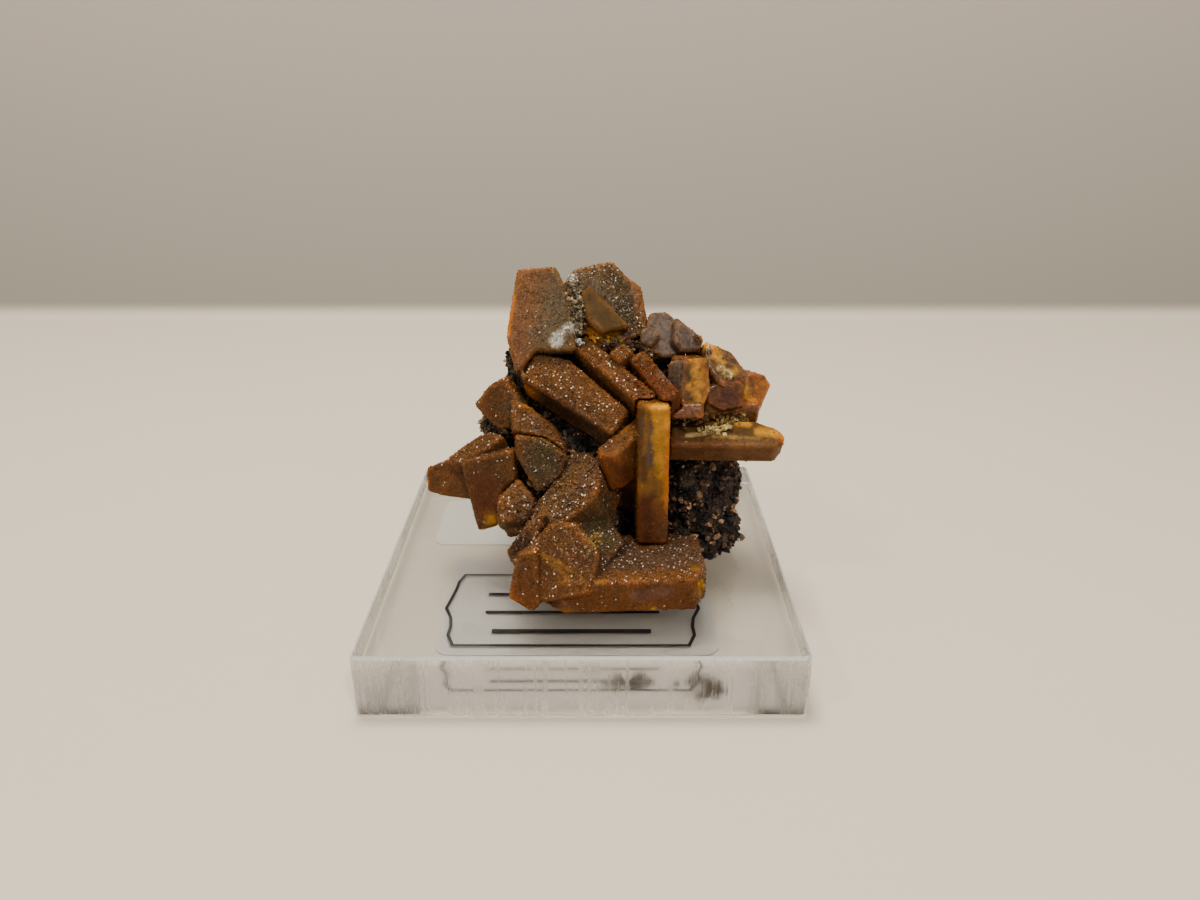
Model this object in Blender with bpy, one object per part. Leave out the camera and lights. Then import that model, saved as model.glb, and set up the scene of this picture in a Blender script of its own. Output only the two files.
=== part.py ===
"""Wulfenite crystals on dark matrix, fixed to a square block of clear acrylic with a label stuck under it.

Lengths are in millimetres and scaled to metres as each mesh is made. +Z is up, the camera side of the
specimen faces -Y, and the origin is the middle of the underside. Crystals and lumps of matrix are placed
from the middle of the block's top face, so that their third number is a height above the acrylic.
"""
from collections import namedtuple
from math import radians

import bmesh
import bpy
from mathutils import Euler, Matrix, Vector, noise

MM = 0.001

# The block and what is stuck under it
BLOCK = 63.5
BLOCK_THICK = 9.5
BLOCK_CORNER = 0.8
BLOCK_EDGE = 0.4
PAPER = 0.2
GAP = 0.3
LABEL_SIZE = (42.0, 27.0)
LABEL_AT = (-0.8, -11.0)
LABEL_CORNER = 2.5
STICKER_SIZE = (30.0, 17.0)
STICKER_AT = (-11.7, 15.8)
STICKER_CORNER = 2.0
CORNER_SEGMENTS = 4
BLOCK_TOP = PAPER + GAP + BLOCK_THICK

# The crystals' edges are bevelled, and a cutter is this much larger than its crystal on every side
EDGE = 0.35
CLEARANCE = 0.4

# The matrix: roundish lumps melted together, roughened and cut flat underneath
MATRIX_GRID = 0.9
MATRIX_TRIANGLES = 3600
ROUGH = ((5.0, 1.1), (2.2, 0.7))

Crystal = namedtuple("Crystal", "outline thick at turn")


def bar(length, width, thick, at, turn):
    """A crystal with a rectangular outline."""
    x = length / 2
    y = width / 2
    return Crystal([(-x, -y), (x, -y), (x, y), (-x, y)], thick, at, turn)


# Colour and roughness of each material
FINISHES = {
    "clear_acrylic": ((0.92, 0.94, 0.93), 0.03),
    "label_paper": ((0.86, 0.86, 0.84), 0.6),
    "sticker_paper": ((0.82, 0.80, 0.70), 0.6),
    "matrix_rock": ((0.10, 0.065, 0.045), 0.8),
    "wulfenite": ((0.42, 0.19, 0.05), 0.3),
    "amber_wulfenite": ((0.55, 0.30, 0.05), 0.2),
    "grey_wulfenite": ((0.30, 0.22, 0.20), 0.5),
}
GROUP_FINISH = {"right_cluster": "amber_wulfenite", "purple_grey_crystals": "grey_wulfenite"}

# Each group is crystals that have grown into each other. The outline is drawn on the crystal's broad face.
GROUPS = {
    "upright_blade": [
        # The blade seen edge on, the bar that leans on its left side, and the plate in the shade behind
        Crystal([(-6, -11), (4, -12), (6, 9), (1, 11), (-6, 11)], 4.6, (10.6, -3.9, 16.5), (90, 5, 90)),
        Crystal([(-5, 0), (-3.5, -1.5), (3, -1.5), (5, 1.5), (-4, 2)], 7.0,
                (6.8, -6.4, 19.1), (5, -20, 45)),
        Crystal([(-4, 1.5), (2, -3.5), (5, -3), (5, 3.5), (-2.5, 3.5)], 4.0,
                (6.5, -0.5, 9.0), (78, -16, 10)),
    ],
    "wide_bar": [
        Crystal([(-9.5, 1.5), (-8, -3.5), (9.5, -3.5), (9, 1.5), (2, 2.5), (-4, 3.5)], 5.0,
                (-1, 1, 26), (32, 20, -32)),
    ],
    "narrow_bars": [
        # The narrow bar behind the wide one, and the small rod and stub on its right
        bar(17.0, 3.0, 7.0, (5, 1.5, 28), (27, 20, -48)),
        bar(10.5, 2.8, 5.0, (11, -1.5, 28.7), (20, 23, -58)),
        bar(3.0, 2.5, 6.0, (6, 2.5, 31), (30, -25, 35)),
    ],
    "front_block": [
        # The flat block, the leaning block with the sparkling ridge, its front and right faces, and two tips
        Crystal([(-12, -4), (-9, -7), (10, -7), (12, -4), (12, 6), (7, 7), (-12, 7)], 5.2,
                (6.1, -14.2, 3.1), (0, -1, 2)),
        Crystal([(-8.5, 1.5), (-7.5, -3.5), (-5, -5.5), (-1, -2.5),
                 (3, -1.5), (8.5, 3.5), (7.5, 5.5), (-4, 5.5)], 7.0,
                (-2.5, -7.5, 11), (-17, 34, -164)),
        Crystal([(-4.5, 3), (-4.5, -5.5), (3, -5.5), (5, 0), (2, 5), (-1.5, 5.5)], 8.0,
                (-2, -16, 6.5), (63, -10, -1)),
        Crystal([(1.5, -8), (4.5, 3), (-2, 8), (-4.5, 3)], 6.0, (0.5, -13.5, 6), (25, 26, -5)),
        Crystal([(-4.5, -0.5), (-2, -2), (4.5, 1), (2, 2), (-3.5, 2)], 5.0,
                (-7, -14.5, 8.5), (40, -49, 22)),
        Crystal([(-1.5, -4.5), (2.5, -4.5), (3, -2.5), (-1, 4.5), (-3, 2.5), (-2.5, -1)], 5.0,
                (-7, -18.5, 5.6), (81, 22, -18)),
    ],
    "right_blade": [
        Crystal([(-9, -2.5), (7.5, -2.5), (9, -0.5), (8, 1), (4.5, 2.5), (-4.5, 2.5), (-8.5, 1.5)], 4.0,
                (22.2, -3, 20), (30, 2, 2)),
    ],
    "back_plates": [
        # The two plates that meet at the notch, the lens shaped crystal on them, and their shared foot
        Crystal([(-4, -8.5), (-3, -8), (-1, -5), (5.5, -5), (4.5, 3),
                 (2, 8.5), (-4, 8), (-4.5, 4.5), (-5.5, -2.5)], 3.0,
                (-6.5, 6.9, 36.5), (60, -1, -3)),
        Crystal([(-6.5, -7), (1.5, -7), (7.5, -3.5), (5.5, 3.5),
                 (3.5, 4.5), (0.5, 7), (-5.5, 5), (-7.5, 0)], 2.6,
                (3.2, 9.1, 38.4), (65, 6, -1)),
        Crystal([(-4.5, 0), (-1, -2), (2, -2), (4.5, 2), (-4.5, 2)], 4.6, (2.5, 6.7, 37.0), (49, 40, -23)),
        Crystal([(-2.5, 2), (0, -2), (2.5, -0.5), (1.5, 2)], 5.0, (-8.5, 3.5, 27.5), (103, 23, 11)),
    ],
    "purple_grey_crystals": [
        Crystal([(-3.5, -3.5), (0, -4.5), (3, -4), (3.5, 0.5), (0, 3), (-2.5, 2.5)], 6.0,
                (12.5, 7, 34), (53, 8, 1)),
        Crystal([(-1, -1.5), (1, -2), (3, 0), (2.5, 2), (-3, 2)], 6.0, (15, 4.5, 33.5), (47, 36, -12)),
        Crystal([(-1, -1.5), (1, -1.5), (1.5, 0.5), (0, 1.5), (-1.5, 0.5)], 6.0,
                (10.5, 5, 34), (59, 13, -14)),
    ],
    "right_cluster": [
        # The blunt crystal with a ridge, its step, the long olive one, the dark one, the clear orange tip,
        # and the crystal under them
        Crystal([(-1.5, 2.5), (-4, 2.5), (-4, -1.5), (-1, -2.5), (4, -1.5), (3.5, 2.5)], 5.0,
                (16.5, -0.5, 29.0), (47, -77, 63)),
        Crystal([(-4, 1.5), (-3, -1.5), (1.5, -1.5), (4, 1.5)], 7.0, (16.5, 0, 28.5), (44, 73, -96)),
        bar(5.0, 2.4, 7.0, (15.8, -2.0, 24.6), (66, -1, 1)),
        Crystal([(-2, -2), (1.5, -3), (4.5, -1), (4.5, 1.5), (0, 3), (-4.5, 1.5)], 4.0,
                (21, 2, 30), (41, 37, -9)),
        Crystal([(-1, 3), (-2.5, 0.5), (-2, -3), (2, -3), (2.5, 0), (1.5, 2.5)], 7.0,
                (21.5, 2, 26), (-10, -72, 107)),
        Crystal([(0.5, 2.5), (-3.5, 0), (-3, -2), (2.5, -2.5), (3.5, -0.5), (3, 2.5)], 5.0,
                (26, 4, 25.5), (70, -64, 42)),
        bar(9.0, 4.2, 5.0, (22.8, 1.2, 23.4), (8, 4, 8)),
    ],
    "left_cluster": [
        # Three crystals that point left and down, and the wide dusty one beside them
        Crystal([(-4.5, 0), (0, -2), (4.5, -2), (3.5, 1), (1.5, 2), (-4.5, 2)], 2.5,
                (-16.8, -0.6, 17.1), (10, -28, 25)),
        Crystal([(-6, 4.5), (-5.5, -4.5), (6, -4), (5.5, -0.5), (0, 1.5), (-1.5, 4)], 3.6,
                (-13.7, -3.6, 12.0), (50, 72, -53)),
        Crystal([(-5, 0), (-4, -3.5), (-1, -3.5), (5, -2.5), (3.5, 3.5), (-1.5, 2.5)], 4.0,
                (-20.5, 1.1, 12.2), (72, 7, -21)),
        Crystal([(-3, 0), (2, -4), (4.5, -0.5), (4, 3), (0, 4), (-4.5, 3)], 5.0,
                (-7.5, -4.0, 16.7), (68, 21, -5)),
    ],
    "low_left_crystals": [
        Crystal([(-3.5, -0.5), (-0.5, -3), (2.5, -1.5), (3.5, 3), (-1, 3)], 6.0,
                (-10, -8, 10), (25, -29, 37)),
        Crystal([(-3, -1), (0.5, -3), (3, -0.5), (2.5, 3), (-2.5, 3)], 5.0, (-10, -8, 9.5), (72, -11, -3)),
    ],
    "upper_left_crystals": [
        Crystal([(-3, -3.5), (2.5, -2.5), (4, 0), (2.5, 3), (-3.5, 3.5), (-4, 0.5)], 3.0,
                (-12.8, 3.4, 23.3), (72, 49, -26)),
        Crystal([(-6, -0.5), (-1.5, -3), (3, 0), (6, 2.5), (1.5, 3), (-4, 1)], 3.5,
                (-7.8, -0.7, 20.7), (34, 47, -37)),
    ],
    "rear_crystals": [
        # Plates on the side away from the camera, in the manner of those in front
        Crystal([(-6, -5), (5, -5), (6, 2), (2, 5), (-5, 4)], 3.0, (-4, 16.5, 22), (100, 12, 8)),
        Crystal([(-5, -4), (4, -5), (5, 3), (-1, 5), (-5, 2)], 3.4, (2, 16.5, 18), (80, -28, -18)),
        bar(11.0, 5.0, 3.4, (4, 17, 24), (20, 35, 60)),
    ],
}

Lump = namedtuple("Lump", "radii at")

LUMPS = [
    Lump((15, 9, 12), (2, 7, 13)),
    Lump((7, 7, 9), (18.5, 3.5, 9)),
    Lump((4.2, 4, 3.8), (20.8, -0.8, 4.2)),
    Lump((5, 5, 3), (19, 0, 1.5)),
    Lump((6, 4, 4.5), (6, 1, 3.8)),
    Lump((8, 4, 10), (-5, 11, 27)),
    Lump((5, 5, 6), (-12, 7, 18)),
    Lump((8, 5, 7), (15, 9, 24)),
    Lump((5.5, 3.8, 5), (6.5, 9, 30)),
]


def clear_scene():
    for old in list(bpy.data.objects):
        bpy.data.objects.remove(old)


def material(name):
    """The Principled material of one finish, made once."""
    found = bpy.data.materials.get(name)
    if found:
        return found
    colour, roughness = FINISHES[name]
    made = bpy.data.materials.new(name)
    made.use_nodes = True
    shader = made.node_tree.nodes["Principled BSDF"]
    shader.inputs["Base Color"].default_value = (*colour, 1.0)
    shader.inputs["Roughness"].default_value = roughness
    shader.inputs["Metallic"].default_value = 0.0
    return made


def object_from(bm, name, finish):
    """Puts a bmesh in millimetres into the scene as an object in metres."""
    bmesh.ops.scale(bm, vec=Vector((MM, MM, MM)), verts=bm.verts)
    bmesh.ops.recalc_face_normals(bm, faces=bm.faces)
    mesh = bpy.data.meshes.new(name)
    bm.to_mesh(mesh)
    bm.free()
    if finish:
        mesh.materials.append(finish)
    made = bpy.data.objects.new(name, mesh)
    bpy.context.scene.collection.objects.link(made)
    return made


def chamfer(bm, edges, offset, segments=1):
    """Bevels edges by one flat facet, or by a round of several."""
    bmesh.ops.bevel(bm, geom=edges, offset=offset, offset_type="OFFSET", segments=segments, profile=0.5,
                    affect="EDGES", clamp_overlap=True, material=-1)


def slab(width, depth, thick, corner):
    """A flat sheet with rounded corners, standing on z = 0."""
    bm = bmesh.new()
    bmesh.ops.create_cube(bm, size=1.0, matrix=Matrix.Diagonal((width, depth, thick, 1.0)))
    bmesh.ops.translate(bm, vec=Vector((0, 0, thick / 2)), verts=bm.verts)
    upright = [e for e in bm.edges if abs(e.verts[0].co.z - e.verts[1].co.z) > thick / 2]
    chamfer(bm, upright, corner, CORNER_SEGMENTS)
    return bm


def make_block():
    bm = slab(BLOCK, BLOCK, BLOCK_THICK, BLOCK_CORNER)
    rim = [e for e in bm.edges if all(abs(v.co.z - BLOCK_THICK) < 0.001 for v in e.verts)]
    chamfer(bm, rim, BLOCK_EDGE)
    bmesh.ops.translate(bm, vec=Vector((0, 0, PAPER + GAP)), verts=bm.verts)
    return object_from(bm, "acrylic_base", material("clear_acrylic"))


def make_papers():
    """The label and the plain sticker, flat under the block."""
    for name, size, at, corner, finish in (
        ("name_label", LABEL_SIZE, LABEL_AT, LABEL_CORNER, "label_paper"),
        ("back_sticker", STICKER_SIZE, STICKER_AT, STICKER_CORNER, "sticker_paper"),
    ):
        bm = slab(*size, PAPER, corner)
        bmesh.ops.translate(bm, vec=Vector((*at, 0)), verts=bm.verts)
        object_from(bm, name, material(finish))


def crystal_mesh(crystal, grow):
    """One crystal: its outline extruded, its edges bevelled, made larger by grow, turned and put in place."""
    bm = bmesh.new()
    corners = [bm.verts.new((x, y, -crystal.thick / 2)) for x, y in crystal.outline]
    bottom = bm.faces.new(corners)
    side = bmesh.ops.extrude_face_region(bm, geom=[bottom])
    top = [v for v in side["geom"] if isinstance(v, bmesh.types.BMVert)]
    bmesh.ops.translate(bm, vec=Vector((0, 0, crystal.thick)), verts=top)
    chamfer(bm, bm.edges[:], EDGE)
    reach = [max(v.co[axis] for v in bm.verts) - min(v.co[axis] for v in bm.verts) for axis in range(3)]
    bmesh.ops.scale(bm, vec=Vector([(r + 2 * grow) / r for r in reach]), verts=bm.verts)
    turned = Euler([radians(angle) for angle in crystal.turn]).to_matrix().to_4x4()
    x, y, height = crystal.at
    bmesh.ops.transform(bm, matrix=Matrix.Translation((x, y, BLOCK_TOP + height)) @ turned, verts=bm.verts)
    return bm


def collection_of(crystals, name, grow, finish):
    """The crystals as separate objects in a collection of their own, for a Boolean to read."""
    kept = bpy.data.collections.new(name)
    for number, crystal in enumerate(crystals):
        made = object_from(crystal_mesh(crystal, grow), f"{name}_{number}", finish)
        kept.objects.link(made)
        bpy.context.scene.collection.objects.unlink(made)
    return kept


def boolean(target, operation, operands):
    """Joins or cuts the target with every object of a collection."""
    step = target.modifiers.new(operation.lower(), "BOOLEAN")
    step.operation = operation
    step.operand_type = "COLLECTION"
    step.collection = operands
    step.solver = "EXACT"
    graph = bpy.context.evaluated_depsgraph_get()
    mesh = bpy.data.meshes.new_from_object(target.evaluated_get(graph))
    target.modifiers.remove(step)
    target.data = mesh


def keep_largest(target):
    """Deletes every loose body of a mesh but the one with the most faces."""
    bm = bmesh.new()
    bm.from_mesh(target.data)
    left = set(bm.faces)
    bodies = []
    while left:
        front = [left.pop()]
        body = set(front)
        while front:
            for edge in front.pop().edges:
                for face in edge.link_faces:
                    if face in left:
                        left.remove(face)
                        body.add(face)
                        front.append(face)
        bodies.append(body)
    bodies.sort(key=len)
    for body in bodies[:-1]:
        bmesh.ops.delete(bm, geom=list(body), context="FACES")
    bm.to_mesh(target.data)
    bm.free()


def discard(collection):
    for old in list(collection.objects):
        bpy.data.objects.remove(old)
    bpy.data.collections.remove(collection)


def make_group(name, crystals, earlier, finish):
    """The crystals of one group joined in one solid, and cut back from the groups made before it."""
    group = object_from(crystal_mesh(crystals[0], 0), name, finish)
    if len(crystals) > 1:
        rest = collection_of(crystals[1:], name, 0, finish)
        boolean(group, "UNION", rest)
        discard(rest)
    if earlier:
        cutters = collection_of(earlier, name + "_cutter", CLEARANCE, None)
        boolean(group, "DIFFERENCE", cutters)
        keep_largest(group)
        discard(cutters)
    cut_foot(group)


def make_matrix(crystals):
    """Lumps melted together, roughened, and cut by the crystals that grow from them and flat at the foot."""
    bm = bmesh.new()
    for lump in LUMPS:
        x, y, height = lump.at
        place = Matrix.Translation((x, y, BLOCK_TOP + height)) @ Matrix.Diagonal((*lump.radii, 1.0))
        bmesh.ops.create_icosphere(bm, subdivisions=3, radius=1.0, matrix=place)
    rock = object_from(bm, "matrix", material("matrix_rock"))
    melt = rock.modifiers.new("melt", "REMESH")
    melt.mode = "VOXEL"
    melt.voxel_size = MATRIX_GRID * MM
    graph = bpy.context.evaluated_depsgraph_get()
    rock.data = bpy.data.meshes.new_from_object(rock.evaluated_get(graph))
    rock.modifiers.remove(melt)
    roughen(rock)
    thin = rock.modifiers.new("thin", "DECIMATE")
    thin.ratio = MATRIX_TRIANGLES / sum(len(p.vertices) - 2 for p in rock.data.polygons)
    graph = bpy.context.evaluated_depsgraph_get()
    rock.data = bpy.data.meshes.new_from_object(rock.evaluated_get(graph))
    rock.modifiers.remove(thin)
    cut_foot(rock)
    cutters = collection_of(crystals, "matrix_cutter", CLEARANCE, None)
    boolean(rock, "DIFFERENCE", cutters)
    keep_largest(rock)
    discard(cutters)


def roughen(rock):
    """Moves each point along its normal by noise of two sizes."""
    for vertex in rock.data.vertices:
        push = sum(height * noise.noise(vertex.co / (size * MM)) for size, height in ROUGH)
        vertex.co += vertex.normal * push * MM


def cut_foot(solid):
    """Cuts a solid flat just above the block, where it reaches that low."""
    foot = Vector((0, 0, (BLOCK_TOP + GAP) * MM))
    if all(vertex.co.z > foot.z for vertex in solid.data.vertices):
        return
    bm = bmesh.new()
    bm.from_mesh(solid.data)
    cut = bmesh.ops.bisect_plane(bm, geom=bm.verts[:] + bm.edges[:] + bm.faces[:], dist=1e-7, plane_co=foot,
                                 plane_no=Vector((0, 0, -1)), clear_outer=True)
    rim = [e for e in cut["geom_cut"] if isinstance(e, bmesh.types.BMEdge)]
    bmesh.ops.triangle_fill(bm, edges=rim, use_beauty=True)
    bmesh.ops.recalc_face_normals(bm, faces=bm.faces)
    bm.to_mesh(solid.data)
    bm.free()


def main():
    clear_scene()
    make_block()
    make_papers()
    placed = []
    for name, crystals in GROUPS.items():
        make_group(name, crystals, placed, material(GROUP_FINISH.get(name, "wulfenite")))
        placed.extend(crystals)
    make_matrix(placed)


main()
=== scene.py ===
"""The looks of a wulfenite specimen: sparkling brown crystals on dark rock, on a block of clear acrylic.

Each crystal solid gets a fine skin and a druse of tiny crystals, the rock gets its grains, and the block gets
its polish, its label and its sticker. Names that end in _MM are in millimetres, all other lengths in metres.
"""

from math import radians

import bmesh
import bpy
import numpy as np
from mathutils import Euler, Matrix, Vector, noise


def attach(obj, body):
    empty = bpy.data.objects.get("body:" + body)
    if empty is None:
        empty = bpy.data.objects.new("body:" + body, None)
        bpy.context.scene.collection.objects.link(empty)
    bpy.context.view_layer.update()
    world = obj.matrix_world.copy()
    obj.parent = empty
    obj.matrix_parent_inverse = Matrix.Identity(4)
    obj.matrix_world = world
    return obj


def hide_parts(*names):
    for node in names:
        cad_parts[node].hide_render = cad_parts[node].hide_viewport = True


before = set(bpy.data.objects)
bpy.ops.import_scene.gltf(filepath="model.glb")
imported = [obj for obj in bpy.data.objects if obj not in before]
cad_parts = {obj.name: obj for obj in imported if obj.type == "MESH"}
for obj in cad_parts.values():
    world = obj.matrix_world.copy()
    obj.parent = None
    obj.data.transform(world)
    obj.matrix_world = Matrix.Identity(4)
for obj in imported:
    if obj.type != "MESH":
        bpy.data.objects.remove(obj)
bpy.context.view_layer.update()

MM = 0.001

# The camera stands where the photograph was taken from, and looks down by so many degrees
CAMERA_AT_MM = (2.6, -137.3, 86.5)
CAMERA_DOWN = 23.36
CAMERA_NEAR_MM = 5.0
LENS_MM = 28.0
SENSOR_MM = 36.0

# The table runs back to a wall that it meets in a soft bend
TABLE_BACK_MM = 181.0
TABLE_REACH_MM = 4000.0
WALL_HIGH_MM = 900.0
BEND_MM = 4.0
BEND_STEPS = 8

# Colours of the table, in clouds of one size, and colours of the wall at its foot, darker as painted shade, and
# higher up.
# The table turns into the wall, and the wall's foot into its upper part, between the heights given.
TABLE_COLOURS = ((0.615, 0.533, 0.410), (0.645, 0.558, 0.435))
TABLE_CLOUD_MM = 90.0
WALL_COLOURS = ((0.325, 0.305, 0.258), (0.435, 0.38, 0.33))
WALL_STARTS_MM = (0.3, 5.0)
WALL_FOOT_MM = (10.0, 100.0)
STAGE_ROUGH = 0.7

# Light of the room, and its lamps: name, place, what the lamp points at, size, watts, colour, and whether
# polished faces mirror it
ROOM_COLOUR = (1.0, 0.97, 0.93, 1.0)
ROOM_STRENGTH = 0.5
LAMPS_MM = (
    ("ceiling_panel", (-60, 60, 620), (0, 0, 20), (240, 170), 5.0, (1.0, 0.97, 0.92), False),
    ("front_lamp", (120, -320, 420), (0, 0, 25), (50, 50), 1.2, (1.0, 0.98, 0.95), True),
    ("left_lamp", (-260, -200, 380), (0, 0, 25), (30, 30), 0.4, (1.0, 0.98, 0.95), True),
)

# Starting numbers of the random draws
DRUSE_SEED = 7
CRUST_SEED = 5
ROCK_SEED = 11
GRAIN_SEED = 3

# Corners of a mesh that are nearer than this are one corner
SAME_CORNER_MM = 0.001

# Skin of the crystals: how fine it is, how far it stands out, and the size and height of its bumps
SKIN_GRID_MM = 0.2
SKIN_OUT_MM = 0.08
SKIN_BUMPS_MM = ((3.5, 0.08), (1.1, 0.05), (0.4, 0.03))

# Painted glow on the crystals' edges, where light would shine through thin wulfenite: the bend that counts as sharp,
# how far the glow spreads in steps of the skin's grid, and what the colour is multiplied by on the sharpest edges
RIM_BEND_MM = 0.016
RIM_STEPS = 9
RIM_GLOW_COLOUR = (1.7, 1.45, 1.05)

# Druse: number of grains on each square millimetre where it is thickest, the share of them that even bare faces
# keep, smallest and largest size, and how much darker and lighter than the skin the grains may be
DRUSE_PER_MM2 = 6.5
DRUSE_LEAST = 0.03
DRUSE_MM = (0.12, 0.28)
DRUSE_TONES = (0.85, 1.3)

# Cover of the druse: its share on upright faces, what it gains on faces that look up and loses on those that look
# down, how far down a face may count as looking, and how ragged the cover is
COVER_UPRIGHT = 0.55
COVER_FACING_UP = 0.6
COVER_LOWEST = -0.6
COVER_RAGGED = 0.3

# The rock: how fine its skin is, the size and height of its bumps, and the size of its dark and light clumps
ROCK_GRID_MM = 0.42
ROCK_BUMPS_MM = ((4.0, 0.8), (2.0, 0.9), (0.9, 0.35))
ROCK_CLUMP_MM = 2.0

# A tiny crystal and a rock grain of size 1, as lengths along their three axes, and how far in and out of an even
# form the corners of a rock grain lie
TABLET_FORM = (1.0, 0.9, 0.6)
GRAIN_FORM = (1.0, 0.75, 0.6)
GRAIN_CORNERS = (0.65, 1.25)

# Grains of the rock: piece, number on each square millimetre, smallest and largest size. Their middles lie between
# so many of their sizes below the skin and above it.
ROCK_GRAINS = (
    ("matrix_lumps", 0.9, 0.8, 1.8),
    ("matrix_grains", 1.8, 0.4, 0.9),
    ("matrix_crumbs", 2.2, 0.25, 0.5),
)
GRAIN_BELOW = 0.35
GRAIN_ABOVE = 0.45

# Colours of the rock: its skin in the pits and on the faces, with the size of those spots and the middle and swing
# of the noise that lays them out, and its grains with the share of each colour
ROCK_PIT = (0.004, 0.003, 0.002)
ROCK_FACE = (0.060, 0.031, 0.016)
ROCK_SPOT_MM = 1.3
ROCK_SPOTS = (0.35, 1.6)
ROCK_COLOURS = ((0.030, 0.016, 0.009), (0.085, 0.048, 0.025), (0.140, 0.080, 0.042), (0.012, 0.008, 0.006))
ROCK_SHARES = (0.30, 0.38, 0.12, 0.20)

# Tones of the rock's grains: painted shade on sunken grains, as the tone of the lowest ones and its growth with the
# square of their height, tones between grain and grain, middle and swing of the tone between clumps, and least and
# most tone of a clump
SUNK_SHADE = (0.08, 3.4)
GRAIN_TONES = (0.6, 1.5)
CLUMP_TONE = (0.9, 3.2)
CLUMP_LIMITS = (0.05, 3.0)

# Surface of the rock: size and depth of its fine grain, and how strongly it mirrors
ROCK_FINE_MM = 0.45
ROCK_DEPTH_MM = 0.4
ROCK_POLISH = 0.35

# Colours of wulfenite in this specimen, and a painted glint, each with the share of the druse that it keeps
PALETTE = {
    "deep": (0.022, 0.008, 0.002, 0.6),
    "red": (0.060, 0.015, 0.002, 0.5),
    "brown": (0.080, 0.030, 0.007, 1.0),
    "cocoa": (0.050, 0.025, 0.013, 1.0),
    "tan": (0.092, 0.042, 0.013, 1.0),
    "honey": (0.155, 0.066, 0.008, 0.3),
    "amber": (0.105, 0.033, 0.005, 0.8),
    "orange": (0.270, 0.085, 0.006, 0.35),
    "yellow": (0.340, 0.150, 0.009, 0.3),
    "olive": (0.155, 0.092, 0.022, 0.5),
    "dust": (0.074, 0.047, 0.019, 0.5),
    "ash": (0.046, 0.028, 0.010, 1.0),
    "purple": (0.072, 0.044, 0.029, 0.4),
    "plum": (0.120, 0.045, 0.024, 0.5),
    "rust": (0.112, 0.044, 0.012, 0.6),
    "umber": (0.062, 0.027, 0.005, 0.15),
    "fawn": (0.088, 0.040, 0.013, 0.2),
    "cream": (0.360, 0.250, 0.090, 0.5),
    # A painted glint: pale grey-white where the druse catches the light
    "painted_glint": (0.400, 0.370, 0.310, 1.0),
    "bark": (0.066, 0.025, 0.006, 1.0),
    "resin": (0.080, 0.028, 0.005, 0.7),
    "fog": (0.170, 0.130, 0.080, 0.6),
    "tea": (0.056, 0.028, 0.005, 0.0),
}

# Finish of the crystals in each slot: material, how far light sinks in, how strongly the surface mirrors, how
# strong the pale veils are, and least and most roughness of bare faces
FINISHES = {
    "wulfenite": ("brown_wulfenite", 0.3, 0.2, 0.12, (0.5, 0.75)),
    "amber_wulfenite": ("amber_wulfenite", 0.35, 0.5, 0.32, (0.15, 0.4)),
    "grey_wulfenite": ("grey_wulfenite", 0.15, 0.25, 0.3, (0.35, 0.6)),
}

# How far each colour of light travels inside wulfenite, as shares of a reach
GLOW_COLOURS = (1.0, 0.5, 0.2)
GLOW_REACH_MM = 0.8

# Sizes of the wulfenite's markings and of its painted sparkles, depth of the fine ones, and colours of its gilt
# flecks and of its painted glints
CLOUD_MM = 3.2
VEIL_MM = 1.5
FINE_MM = 0.6
FINE_DEPTH_MM = 0.12
FACET_MM = 0.21
SPARKLE_MM = 0.17
GILT_COLOUR = (0.42, 0.24, 0.10)
PAINTED_GLINT_COLOUR = (0.80, 0.68, 0.54)

# For each crystal solid: its slot, its main colour, and how thickly the druse covers it
CRYSTALS = {
    "upright_blade": ("wulfenite", "amber", 0.45),
    "wide_bar": ("wulfenite", "brown", 1.0),
    "narrow_bars": ("wulfenite", "brown", 0.9),
    "front_block": ("wulfenite", "brown", 1.0),
    "right_blade": ("wulfenite", "tan", 0.35),
    "back_plates": ("wulfenite", "tan", 0.75),
    "purple_grey_crystals": ("grey_wulfenite", "purple", 0.6),
    "right_cluster": ("amber_wulfenite", "amber", 0.2),
    "left_cluster": ("wulfenite", "bark", 0.7),
    "low_left_crystals": ("wulfenite", "brown", 1.0),
    "upper_left_crystals": ("wulfenite", "brown", 0.8),
    "rear_crystals": ("wulfenite", "brown", 0.8),
}

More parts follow.
